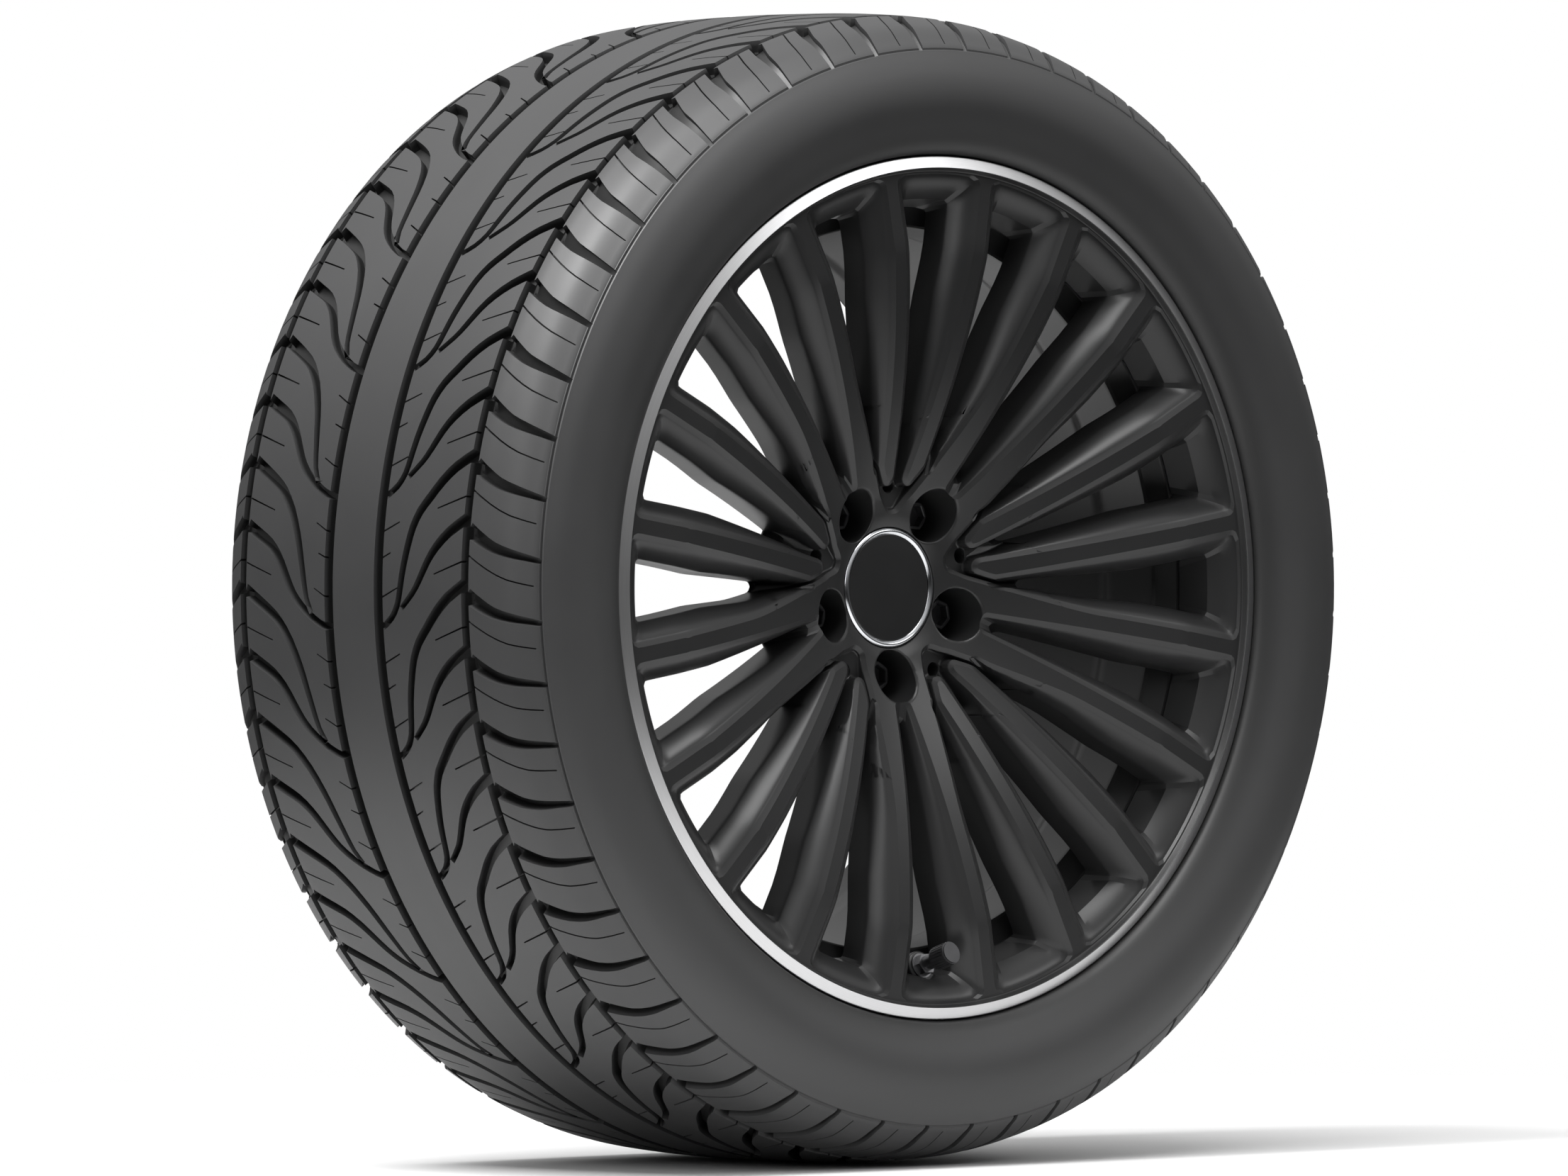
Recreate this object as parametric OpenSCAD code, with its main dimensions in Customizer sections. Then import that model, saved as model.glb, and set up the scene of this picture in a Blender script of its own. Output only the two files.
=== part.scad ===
// Alloy road wheel with 20 thin spokes, its tyre, centre cap, bolts and tyre valve.
// Sizes are in millimetres. The wheel spins about Y, its outer face looks toward -Y and +Z is up.
// Each piece is drawn lying face up, with its outer face toward +Z, and is then stood up.

/* [Rim] */
// Diameter of the bead seats
rim_d = 508; // [480:1:540]
// Width between the two flanges
rim_w = 266.7; // [254:0.5:279.5]
// Height of the flanges above the bead seats
flange_h = 17.3; // [14:0.1:20]
// Thickness of the outer flange along the axle
flange_t = 11.5; // [10:0.1:13]
// Thickness of the inner flange along the axle
inner_flange_t = 6; // [5:0.1:8]
// Radial width of the bright turned lip
lip_w = 7.3; // [5:0.1:10]
// How far the bright lip falls back towards its outer edge
lip_fall = 2.4; // [1:0.1:3.5]
// Wall of the barrel
barrel_wall = 5; // [4:0.1:7]
// Depth of the well below the bead seats
well_depth = 21; // [17:0.5:24]

/* [Wheel disc] */
// Distance from the wheel's centre plane out to the mounting face
offset_et = 45; // [38:1:52]
// Radius at which the spokes bend
bend_r = 215; // [205:1:225]
// Depth of the spoke tops behind the lip, at the bend
bend_drop = 3; // [2:0.5:6]
// Depth of the hub face behind the lip, on the bolt circle
hub_drop = 47; // [42:0.5:52]
// Depth of a spoke from its top to its back
spoke_t = 32; // [26:0.5:36]
// Width of the flat top of a spoke
spoke_w = 9.2; // [7:0.1:11]
// Width of the bevel beside the flat top
bevel_w = 2.8; // [1.5:0.1:3.5]
// Drop of that bevel
bevel_h = 1.8; // [1:0.1:2.5]
// Width of the scoop in a spoke's flank, at the rim
scoop_w = 10.8; // [7:0.1:12]
// Width of the sloping plate at the rim end of each window
plate_w = 16.5; // [12:0.5:19]
// Corner radius of the windows at the rim
window_corner = 6; // [4:0.5:9]

/* [Hub] */
// Diameter of the centre bore
bore_d = 66.6; // [60:0.1:67.5]
// Diameter of the bolt circle
pcd = 112; // [110:0.5:114]
// Diameter of the bolt holes
bolt_hole_d = 15.2; // [14.6:0.1:16]
// Diameter of the wells that the bolt heads sit in
bolt_well_d = 33.2; // [30:0.2:33.6]
// Radius of the round bolt seats
seat_r = 14; // [13:0.5:15]
// Thickness of metal under the bolt wells
seat_t = 21; // [18:0.5:24]
// Diameter of the hub's mounting face
pad_d = 152; // [148:1:160]

/* [Bolts] */
// Diameter of the bolt shank
bolt_d = 14; // [12:0.5:14.4]
// Width across the flats of the bolt head
bolt_flats = 17; // [15:1:19]
// Height of the hexagon of the bolt head
bolt_head_h = 12; // [9:0.5:14]
// How far the shank stands out behind the mounting face
bolt_out = 28; // [22:1:34]

/* [Centre cap] */
// Diameter of the cap
cap_d = 76; // [74:0.2:76.2]
// Width of the bright ring of the cap
cap_ring_w = 4.4; // [3.5:0.1:5.5]
// Height of the cap above its seat
cap_h = 4.6; // [3.8:0.1:5.4]
// Diameter of the bore that the clips of the cap snap into
cap_bore_d = 68; // [67.6:0.1:69]
// Number of clip fingers
cap_clips = 6; // [4:1:8]

/* [Tyre] */
// Outer diameter of the tyre
tyre_d = 728.4; // [710:0.4:740]
// Width of the tyre over its side walls
tyre_w = 314; // [300:1:324]
// Depth of the tread grooves
groove_depth = 7.5; // [6:0.1:8.5]
// Number of tread pitches, an even number
pitches = 56; // [48:2:64]

/* [Valve] */
// Diameter of the valve hole in the rim
valve_hole_d = 11.5; // [11:0.1:12.5]
// Lean of the valve towards the wheel's centre
valve_lean = 17.7; // [14:0.1:20]
// Radius at which the valve's axis crosses its seat plane
valve_r = 238; // [236.5:0.1:239]
// Length of the valve from its seat to the face of its cap
valve_l = 30; // [28:0.2:32]
// Diameter of the valve cap
valve_cap_d = 15; // [13:0.1:15.6]
// Length of the valve cap
valve_cap_l = 14; // [13:0.1:15]

/* [Hidden] */
$fn = 96;

// A cut runs this far past the face that it opens
over = 1;
// Gap between pieces that sit against each other
fit_gap = 0.2;

// The 20 spokes stand in five groups of four
group = 72;
step = group / 4;
half_step = step / 2;

seat_rad = rim_d / 2;
flange_r = seat_rad + flange_h;
face_w = rim_w / 2;
lip_z = face_w + flange_t;
lip_in_r = flange_r - lip_w;
rim_edge_r = lip_in_r - 2;
hub_r = pcd / 2;
bore_r = bore_d / 2;
well_r = seat_rad - well_depth;

// Height of the front face at radius r: a flat outer part, a falling spoke and a dished hub
rim_drop = bend_drop + 1;
dish_r = hub_r - 12;
cap_r = cap_d / 2;
cap_hole_r = cap_r + 0.3;
dish_drop = hub_drop + 2.8;
cap_edge_drop = hub_drop + 5;
function blend(a, b, f) = a + (b - a) * f;
function spoke_fall(t) = 0.45 * t + 0.55 * t * t;
function face_drop(r) =
    r >= bend_r ? blend(bend_drop, rim_drop, (r - bend_r) / (rim_edge_r - bend_r)) :
    r >= hub_r ? blend(bend_drop, hub_drop, spoke_fall((bend_r - r) / (bend_r - hub_r))) :
    r >= dish_r ? blend(hub_drop, dish_drop, (hub_r - r) / (hub_r - dish_r)) :
    blend(dish_drop, cap_edge_drop, (dish_r - r) / (dish_r - cap_hole_r));
function face_z(r) = lip_z - face_drop(r);

// Height of the back of the disc at radius r
pad_r = pad_d / 2;
skirt_r = pad_r + 30;
function back_z(r) = r >= skirt_r ? face_z(r) - spoke_t :
    blend(offset_et, face_z(skirt_r) - spoke_t, pow((r - pad_r) / (skirt_r - pad_r), 0.8));

// Inside of the barrel, where the windows end
barrel_front_r = rim_edge_r - plate_w - 4;
window_back_r = barrel_front_r - 2;
barrel_in_r = well_r - barrel_wall;
well_front = back_z(barrel_front_r) - 6;

function radii(a, b, n) = [for (i = [0:n]) blend(a, b, i / n)];

// Section of the wheel, from the bore over the face, the lip, the tyre side and back inside
cap_seat_z = face_z(cap_hole_r) - cap_h + 1;
clip_z = cap_seat_z - 12;
bore_end_z = clip_z - 4;
cap_bore_r = cap_bore_d / 2;
bead_out = 5.2;
hump_w = 18.7;
hump_h = 1.1;
function bead_side(s, lip) = [
    [flange_r, s * (lip - lip_fall)],
    [flange_r, s * (face_w + 0.9)],
    [flange_r - 4, s * face_w],
    [seat_rad + 4.5, s * face_w],
    [seat_rad + 1.2, s * (face_w - 1.6)],
    [seat_rad, s * (face_w - bead_out)],
    [seat_rad - 1.2, s * (face_w - hump_w)],
    [seat_rad - 1.2 + hump_h, s * (face_w - hump_w - 4)],
    [seat_rad - 1.6, s * (face_w - hump_w - 8)]];
function reversed(p) = [for (i = [len(p) - 1:-1:0]) p[i]];
inner_lip = face_w + inner_flange_t;
tyre_side = concat(bead_side(1, lip_z), [
    [seat_rad - 4, face_w - 30],
    [well_r, face_w - 42],
    [well_r, face_w - 80],
    [seat_rad - 10.5, face_w - 97],
    [seat_rad - 6, 36 - face_w]], reversed(bead_side(-1, inner_lip)));
wheel_section = concat(
    [[bore_r, offset_et + 2], [bore_r, bore_end_z], [cap_bore_r, bore_end_z + 1],
     [cap_bore_r, clip_z], [cap_bore_r + 1.3, clip_z + 0.6], [cap_bore_r + 1.3, clip_z + 3],
     [cap_bore_r, clip_z + 4.5], [cap_bore_r, cap_seat_z], [cap_hole_r, cap_seat_z]],
    [for (r = radii(cap_hole_r, dish_r, 1)) [r, face_z(r)]],
    [for (r = radii(hub_r, bend_r, 14)) [r, face_z(r)]],
    [[rim_edge_r, face_z(rim_edge_r)], [lip_in_r - 0.4, lip_z - 0.4], [lip_in_r, lip_z]],
    tyre_side,
    [[lip_in_r, -inner_lip], [seat_rad - 2, 1 - inner_lip], [seat_rad - 6.4, 6 - inner_lip],
     [seat_rad - 6.4, 22 - face_w], [seat_rad - 11, 40 - face_w], [seat_rad - 15.5, face_w - 97],
     [barrel_in_r, face_w - 82], [barrel_in_r, well_front - 9], [barrel_front_r, well_front]],
    [for (r = radii(barrel_front_r, skirt_r, 8)) [r, back_z(r)]],
    [for (r = radii(skirt_r - 6, pad_r + 6, 3)) [r, back_z(r)]],
    [[pad_r, offset_et + 3], [pad_r - 2, offset_et], [bore_r + 2, offset_et]]);

// Windows between the spokes. A level is one outline of a window:
// [half width past the flat top, share of the scoop's width, drop below the face,
//  share of the scoop's drop, radius of the inner end, radius of the outer end, depth past the back,
//  radius of the corners at the rim]
stations = [0, 0.04, 0.12, 0.3, 0.5, 0.7, 0.84, 0.94, 0.975, 1];
arc_points = 3;
widen_r = hub_r + 90;
tip_round = 5;
wall_draft = 1.5;
back_over = 6;
function scoop(r) = max(0.6, min(1, (r - 60) * 0.0079) * scoop_w);
function scoop_drop(r) = 3 + 0.85 * scoop(r);
function hub_widening(r, is_wide) = is_wide && r < widen_r ? 11.5 * pow((widen_r - r) / 100, 1.25) : 0;
function side_angle(lv, r, is_wide) =
    let (w = spoke_w / 2 + lv[0] + lv[1] * scoop(r) + hub_widening(r, is_wide))
    max(0.3, half_step - asin(min(0.9, w / r)));
function level_z(lv, r) =
    lv[6] > 0 ? back_z(max(r, pad_r)) - lv[6] : face_z(r) - lv[2] - lv[3] * scoop_drop(r);
function corner_cut(r, r_out, c) = r > r_out - c ? c - sqrt(max(0, c * c - pow(r - r_out + c, 2))) : 0;
function tip_share(r, r_in, c) = r < r_in + c ? sqrt(max(0, 1 - pow((r_in + c - r) / c, 2))) : 1;
function half_span(lv, r, up, low) =
    max(0.05, (up + low) / 2 * tip_share(r, lv[4], tip_round)
        - atan(corner_cut(r, lv[5], lv[7]) / r));
function side_points(lv, r, wide) =
    let (up = side_angle(lv, r, wide[0]), low = side_angle(lv, r, wide[1]),
         mid = (up - low) / 2, half = half_span(lv, r, up, low))
    [mid - half, mid + half];
function polar(r, a, z) = [r * cos(a), r * sin(a), z];
function ring(lv, wide) =
    let (rs = [for (s = stations) blend(lv[4], lv[5], s)], m = len(stations) - 1,
         ends = side_points(lv, lv[5], wide))
    concat(
        [for (r = rs) polar(r, side_points(lv, r, wide)[0], level_z(lv, r))],
        [for (i = [1:arc_points])
            polar(lv[5], blend(ends[0], ends[1], i / (arc_points + 1)), level_z(lv, lv[5]))],
        [for (i = [m:-1:0]) polar(rs[i], side_points(lv, rs[i], wide)[1], level_z(lv, rs[i]))]);
function strip_faces(n, first) =
    let (half = len(stations), last = n - 1)
    concat([for (i = [0:half - 2])
               [first + last - i, first + last - i - 1, first + i + 1, first + i]],
           [[for (i = [n - half:-1:half - 1]) first + i]]);
function flipped(faces) = [for (f = faces) reversed(f)];
module loft(rings) {
    n = len(rings[0]);
    m = len(rings);
    walls = [for (k = [0:m - 2]) for (i = [0:n - 1])
        each [[k * n + i, k * n + (i + 1) % n, (k + 1) * n + i],
              [k * n + (i + 1) % n, (k + 1) * n + (i + 1) % n, (k + 1) * n + i]]];
    polyhedron(points = [for (r = rings) each r],
               faces = concat(strip_faces(n, 0), walls, flipped(strip_faces(n, (m - 1) * n))),
               convexity = 6);
}
// A window is cut through five outlines: above the face, under the bevel, along the scoop, back
module window(inner, wide) {
    levels = [
        [-bevel_w * 0.9, 0, -bevel_h * 0.9, 0, inner, rim_edge_r, 0, window_corner + 1],
        [bevel_w, 0, bevel_h, 0, inner + 2, rim_edge_r - 2, 0, window_corner],
        [bevel_w, 0.5, bevel_h, 0.34, inner + 5, rim_edge_r - 2 - plate_w * 0.5, 0, window_corner * 0.7],
        [bevel_w, 1, bevel_h, 1, inner + 12, rim_edge_r - plate_w - 1, 0, window_corner * 0.6],
        [bevel_w + wall_draft, 1, 0, 0, inner + 36, window_back_r, back_over, window_corner + 1]];
    loft([for (lv = levels) ring(lv, wide)]);
}

// Hub recess round the tips of a pair of inner spokes
recess_z = lip_z - hub_drop - 5.5;
recess_r = 49;
recess_end = 100;
dimple_d = 9.2;
dimple_r = 64.5;
side_w = spoke_w / 2 + bevel_w;
function flat_polar(r, a) = [r * cos(a), r * sin(a)];
function recess_edge(r) = 3 * half_step - asin((side_w + hub_widening(r, true)) / r);
tip_outline = [[recess_end, 3.4], [86, 1.8], [79, -0.9], [74, -4.9], [70, -8.9], [68.6, -10.9],
               [69.2, -13], [71.5, -14.2], [76, -15], [86, -16.6], [recess_end, -18.2]];
function tip_points(s) = [for (p = tip_outline)
    flat_polar(p[0], s * (half_step + asin((side_w + p[1]) / p[0])))];
module hub_recess() {
    edge = radii(recess_r, recess_end, 9);
    half = concat([for (r = edge) flat_polar(r, recess_edge(r))], tip_points(1));
    low = [for (p = reversed(half)) [p[0], -p[1]]];
    translate([0, 0, recess_z]) linear_extrude(height = hub_drop) polygon(concat(half, low));
    translate([dimple_r, 0, recess_z - 11]) cylinder(d = dimple_d, h = 12 + over);
}

// Bolt well with its round seat and its hole
seat_z = offset_et + seat_t;
seat_mouth_r = 11.5;
seat_centre_z = seat_z + sqrt(seat_r * seat_r - seat_mouth_r * seat_mouth_r);
module bolt_well() {
    translate([hub_r, 0, 0]) {
        translate([0, 0, seat_z]) cylinder(d = bolt_well_d, h = lip_z - seat_z);
        translate([0, 0, offset_et - over]) cylinder(d = bolt_hole_d, h = seat_t + 2 * over);
        translate([0, 0, seat_centre_z]) sphere(r = seat_r);
    }
}

// The valve's own axis: z runs out along the stem from its seat on the rim
valve_angle = 270;
valve_seat_z = lip_z - 24;
valve_through = 16;
module valve_place() {
    rotate([0, 0, valve_angle + 90]) translate([0, -valve_r, valve_seat_z])
        rotate([-valve_lean, 0, 0]) children();
}
boss_d = 20;
module valve_boss() {
    intersection() {
        valve_place() translate([0, 0, -valve_through - 6]) cylinder(d = boss_d, h = valve_through + 6);
        rotate_extrude() polygon(concat([[well_r - 16, 0], [well_r - 16, lip_z]],
            [for (p = tyre_side) if (p[1] > 0) p - [0.6, 0]]));
    }
}
module valve_hole() {
    valve_place() {
        translate([0, 0, -valve_through - 14]) cylinder(d = valve_hole_d, h = valve_through + 20);
        cylinder(d = boss_d + 1, h = 40);
        translate([0, 0, -valve_through - 14]) cylinder(d = 19, h = 14);
    }
}

module stood() { rotate([90, 0, 0]) children(); }

module alloy_wheel() {
    color("#2b2b2b") stood() difference() {
        union() {
            rotate_extrude($fn = 180) polygon(wheel_section);
            valve_boss();
        }
        for (k = [0:4]) rotate([0, 0, step + group * k]) {
            hub_recess();
            window(68, [false, false]);
            rotate([0, 0, step]) window(72, [true, false]);
            rotate([0, 0, -step]) window(72, [false, true]);
            rotate([0, 0, 2 * step]) window(69, [false, false]);
            rotate([0, 0, 2 * step]) bolt_well();
        }
        valve_hole();
    }
}

// Tyre section. Its outside runs from the bead over the side wall to the crown of the tread.
crown_r = tyre_d / 2;
wall_z = tyre_w / 2;
shoulder_z = wall_z - 13;
shoulder_r = crown_r - 23;
tread_z = wall_z - 34;
tyre_foot = flange_r + fit_gap + 0.4;
// A curve through the given points, with n pieces between two of them
function spline_at(a, b, c, d, t) =
    0.5 * (2 * b + (c - a) * t + (2 * a - 5 * b + 4 * c - d) * t * t
        + (3 * b - a - 3 * c + d) * t * t * t);
function spline(p, n) = let (m = len(p) - 1) concat([p[0]],
    [for (i = [0:m - 1]) for (k = [1:n])
        spline_at(p[max(i - 1, 0)], p[i], p[i + 1], p[min(i + 2, m)], k / n)]);
side_wall = spline([[tyre_foot, lip_z - lip_fall - 2], [tyre_foot + 3, lip_z + 2],
    [tyre_foot + 12, wall_z - 5], [tyre_foot + 32, wall_z], [shoulder_r - 12, wall_z - 5],
    [shoulder_r, shoulder_z]], 3);
tread_arc = spline([[shoulder_r + 1.5, shoulder_z - 1.5], [crown_r - 12, tread_z + 8],
    [crown_r - 6.5, tread_z - 7], [crown_r - 3.4, tread_z - 24], [crown_r - 0.9, tread_z - 66],
    [crown_r, 0]], 3);
bead_section = [[seat_rad - 1 + fit_gap, face_w - 16], [seat_rad + fit_gap, face_w - bead_out],
    [seat_rad + 1.2 + fit_gap, face_w - 1.6 - fit_gap], [seat_rad + 4.5, face_w - fit_gap],
    [flange_r - 3, face_w - fit_gap], [tyre_foot, face_w + 0.6]];
inner_wall = spline([[crown_r - 15, 0], [crown_r - 17, tread_z - 25],
    [crown_r - 25, tread_z + 2], [shoulder_r - 9, wall_z - 19], [tyre_foot + 34, wall_z - 9],
    [tyre_foot + 18, wall_z - 12], [tyre_foot + 5, face_w - 2], [seat_rad + 6, face_w - 14]], 2);
half_tyre = concat(bead_section, side_wall, tread_arc);
inner_half = concat(inner_wall, [bead_section[0]]);
function mirrored(p) = [for (i = [len(p) - 1:-1:0]) [p[i][0], -p[i][1]]];
function without_last(p) = [for (i = [0:len(p) - 2]) p[i]];
function without_first(p) = [for (i = [1:len(p) - 1]) p[i]];
tyre_section = concat(half_tyre, without_first(mirrored(half_tyre)),
    without_first(without_last(concat(mirrored(inner_half), without_first(inner_half)))));

// Tread pattern. Its paths are [run along the circumference, place across the tread] points.
pitch_a = 360 / pitches;
ring_grooves = [[-113.2, 7.5], [-24.2, 7.7], [23.2, 7.7], [101.2, 5.6]];
tread_share = tread_z / 123;
run_share = crown_r / 364.2 * 56 / pitches;
tread_turn = 0.68;
tread_lean = 2.6;
shoulder_lean = 21;
outer_long = [[0, 100], [8, 86.4], [17, 76], [27, 67], [36, 59], [46, 53.5], [57, 50], [71, 46.3],
    [84, 43.6], [94, 41], [102, 35.5], [108, 27]];
outer_short = [[0, 100], [8, 86.4], [17, 75.8], [26, 68.4], [38, 61], [46, 55],
    [55.5, 44.5]];
inner_long = [[3, -109], [9, -96], [15, -84], [23, -75], [32, -68.5], [43, -61.5], [51, -54.5],
    [59, -44], [65, -33], [67, -27]];
inner_short = [[3, -109], [9, -97], [16, -84], [23, -74], [35, -64], [50, -56.5], [63, -52.4],
    [77, -49], [90, -46], [99, -41.5]];
outer_slot = [[6.5, 103], [12.5, 112.5], [17.5, 121.5], [21, 132], [23, 139], [26, 147]];
inner_slot = [[0, -116], [6, -124], [12, -134], [17, -142], [20, -148]];
function shaped(path) = [for (p = path) [p[0] * run_share, p[1] * tread_share]];
function unit(v) = v / norm(v);
function path_side(p, i) = let (a = p[max(i - 1, 0)], b = p[min(i + 1, len(p) - 1)], d = unit(b - a))
    [-d[1], d[0]];
function path_width(i, n, w0, w1) = blend(w0, w1, i / (n - 1)) / 2;
function band(p, w0, w1) = let (n = len(p)) concat(
    [for (i = [0:n - 1]) p[i] + path_side(p, i) * path_width(i, n, w0, w1)],
    [for (i = [n - 1:-1:0]) p[i] - path_side(p, i) * path_width(i, n, w0, w1)]);
// A straight-walled cut of one stretch of a path, square to the tread at the stretch's middle.
// Its floor leans down towards the shoulder, from the path's place z0 across the tread.
module tread_cut(path, w0, w1, depth, lean, z0) {
    mid = (path[0][0] + path[len(path) - 1][0]) / 2;
    turn = mid / crown_r * 57.2958;
    rotate([0, 0, turn]) rotate([90, 0, 90]) translate([-mid, z0, crown_r - depth])
        rotate([-lean, 0, 0]) translate([0, -z0, 0])
            linear_extrude(height = depth + 6) polygon(band(path, w0, w1));
}
function part_of(p, a, b) = [for (i = [a:b]) p[i]];
module pitch_cuts(path, w0, w1, cut_at, lean) {
    p = shaped(path);
    last = len(p) - 1;
    w = blend(w0, w1, cut_at / last);
    tread_cut(part_of(p, 0, cut_at), w0, w, groove_depth, lean, sign(lean) * 30);
    if (cut_at < last) tread_cut(part_of(p, cut_at, last), w, w1, groove_depth, lean, sign(lean) * 30);
}
module shoulder_cut(path, w0, w1, side) {
    p = shaped(path);
    tread_cut(p, w0, w1, groove_depth + 2.2, side * shoulder_lean, p[0][1]);
}
module ring_groove(g) {
    fall = abs(g[0]) > 60 ? 3.4 : 0;
    rotate_extrude($fn = 180) translate([crown_r - groove_depth - fall, g[0] * tread_share - g[1] / 2])
        square([groove_depth + fall + 5, g[1]]);
}
module tyre() {
    color("#333333") stood() difference() {
        rotate_extrude($fn = 180) polygon(tyre_section);
        for (g = ring_grooves) ring_groove(g);
        for (k = [0:pitches - 1]) rotate([0, 0, k * pitch_a - tread_turn]) {
            shoulder_cut(outer_slot, 6, 3.4, 1);
            shoulder_cut(inner_slot, 5, 3.4, -1);
            if (k % 2 == 0) {
                pitch_cuts(outer_long, 7.5, 4.4, 6, tread_lean);
                pitch_cuts(inner_short, 8.5, 4, 4, -tread_lean);
            } else {
                pitch_cuts(outer_short, 7.5, 3.8, len(outer_short) - 1, tread_lean);
                pitch_cuts(inner_long, 8.5, 4.6, 4, -tread_lean);
            }
        }
    }
}

// Centre cap: a clipped body, its bright ring, its face disc and the wire that spreads the clips
ring_in_r = cap_r - cap_ring_w;
cap_top_z = cap_seat_z + cap_h;
cap_floor_z = cap_seat_z + 2.4;
clip_out_r = cap_bore_r - fit_gap;
clip_in_r = clip_out_r - 2.2;
module cap_body() {
    color("#222222") stood() difference() {
        rotate_extrude() polygon([[0, cap_seat_z + fit_gap], [clip_in_r, cap_seat_z + fit_gap],
            [clip_in_r, clip_z - 2], [clip_out_r - 0.8, clip_z - 2], [clip_out_r, clip_z + fit_gap],
            [clip_out_r + 1, clip_z + 1.2], [clip_out_r + 1, clip_z + 2.2], [clip_out_r, clip_z + 4],
            [clip_out_r, cap_seat_z + fit_gap],
            [cap_r - 0.8, cap_seat_z + fit_gap], [cap_r - 0.8, cap_seat_z + 1.2],
            [ring_in_r, cap_seat_z + 1.2], [ring_in_r, cap_floor_z], [0, cap_floor_z]]);
        for (k = [0:cap_clips - 1]) rotate([0, 0, 360 / cap_clips * k])
            translate([clip_in_r - 4, -3.5, clip_z - 6]) cube([10, 7, cap_seat_z - clip_z + 4]);
    }
}
module cap_ring() {
    color("#c8c8cc") stood() rotate_extrude() polygon([
        [cap_r, cap_seat_z + 1.4], [cap_r, cap_top_z - 1.8], [cap_r - 0.5, cap_top_z - 0.7],
        [cap_r - 1.5, cap_top_z], [cap_r - 2.6, cap_top_z], [cap_r - 3.6, cap_top_z - 0.5],
        [ring_in_r, cap_top_z - 1.3], [ring_in_r, cap_seat_z + 1.4]]);
}
module cap_disc() {
    disc_r = ring_in_r - fit_gap;
    color("#232323") stood() rotate_extrude() polygon([
        [0, cap_floor_z], [disc_r, cap_floor_z], [disc_r, cap_top_z - 1.5],
        [disc_r - 8, cap_top_z - 1.2], [0, cap_top_z - 1]]);
}
wire_d = 1.6;
module cap_spring_wire() {
    color("#9a9a9a") stood() translate([0, 0, clip_z + 1.5]) rotate_extrude()
        translate([clip_in_r - wire_d / 2 - 0.05, 0]) circle(d = wire_d, $fn = 24);
}

// Wheel bolt: a hexagon over a round seat and a shank that stands out behind the mounting face
bolt_seat_r = seat_r - 0.1;
bolt_collar_r = 11.3;
head_z = seat_z + 4;
tip_z = offset_et - bolt_out;
bolt_neck_d = bolt_d - 1;
module wheel_bolt(k) {
    color("#2a2a2a") stood() rotate([0, 0, 3 * step + group * (k - 1)])
    translate([hub_r, 0, 0]) difference() {
        union() {
            intersection() {
                translate([0, 0, seat_centre_z]) sphere(r = bolt_seat_r);
                translate([0, 0, offset_et]) cylinder(r = bolt_collar_r, h = head_z - offset_et);
            }
            translate([0, 0, head_z - 1]) cylinder(d = bolt_flats / cos(30), h = bolt_head_h + 1, $fn = 6);
            translate([0, 0, offset_et - over]) cylinder(d = bolt_neck_d, h = seat_z - offset_et + over);
            translate([0, 0, tip_z + 1.5]) cylinder(d = bolt_d, h = bolt_out - 1.5 - 2.5 * fit_gap);
            translate([0, 0, tip_z]) cylinder(d = bolt_d - 3, h = 3);
        }
        translate([0, 0, head_z + bolt_head_h - 6]) cylinder(d = 13 / cos(30), h = 6 + over, $fn = 6);
    }
}

// Valve, from its seat on the rim outwards and inwards along its own axis
washer_t = 1;
nut_h = 5;
nut_flats = 12;
stem_r = 3.9;
stem_hole_r = 2.7;
collar_r = 4.75;
cap_foot = valve_l - valve_cap_l;
stem_end = valve_l - 4.4;
sleeve_r = valve_hole_d / 2 - fit_gap;
foot_z = -valve_through - 3;
foot_end = foot_z - 6;
foot_r = 6.5;
shank_r = 4.2;
screw_r = 1.35;
module valve_stem() {
    color("#8d8f92") stood() valve_place() difference() {
        union() {
            translate([0, 0, foot_end]) cylinder(r = shank_r, h = cap_foot - 5 - foot_end);
            translate([0, 0, foot_end]) cylinder(r = foot_r, h = foot_z - foot_end);
            translate([0, 0, washer_t + nut_h + fit_gap])
                cylinder(r = collar_r, h = cap_foot - washer_t - nut_h - 0.7);
            cylinder(r = stem_r, h = stem_end);
        }
        translate([0, 0, foot_z]) cylinder(r = stem_hole_r, h = stem_end - foot_z + over);
        translate([0, 0, foot_end - over]) cylinder(r = screw_r + 0.15, h = foot_z - foot_end + 2 * over);
    }
}
module valve_nut() {
    color("#8d8f92") stood() valve_place() difference() {
        translate([0, 0, washer_t]) cylinder(d = nut_flats / cos(30), h = nut_h, $fn = 6);
        translate([0, 0, washer_t - over]) cylinder(r = shank_r + fit_gap, h = nut_h + 2 * over);
    }
}
module valve_washer() {
    color("#5a5a5a") stood() valve_place() difference() {
        cylinder(r = 8, h = washer_t);
        translate([0, 0, -over]) cylinder(r = shank_r + fit_gap, h = washer_t + 2 * over);
    }
}
module valve_grommet() {
    color("#1a1a1a") stood() valve_place() difference() {
        union() {
            translate([0, 0, -valve_through]) cylinder(r = sleeve_r, h = valve_through - 0.2);
            translate([0, 0, foot_z]) cylinder(r = 8.4, h = -foot_z - valve_through);
        }
        translate([0, 0, foot_z - over]) cylinder(r = shank_r + fit_gap, h = valve_through + 8);
    }
}
cap_in_r = stem_r + 0.35;
knurls = 24;
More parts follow.
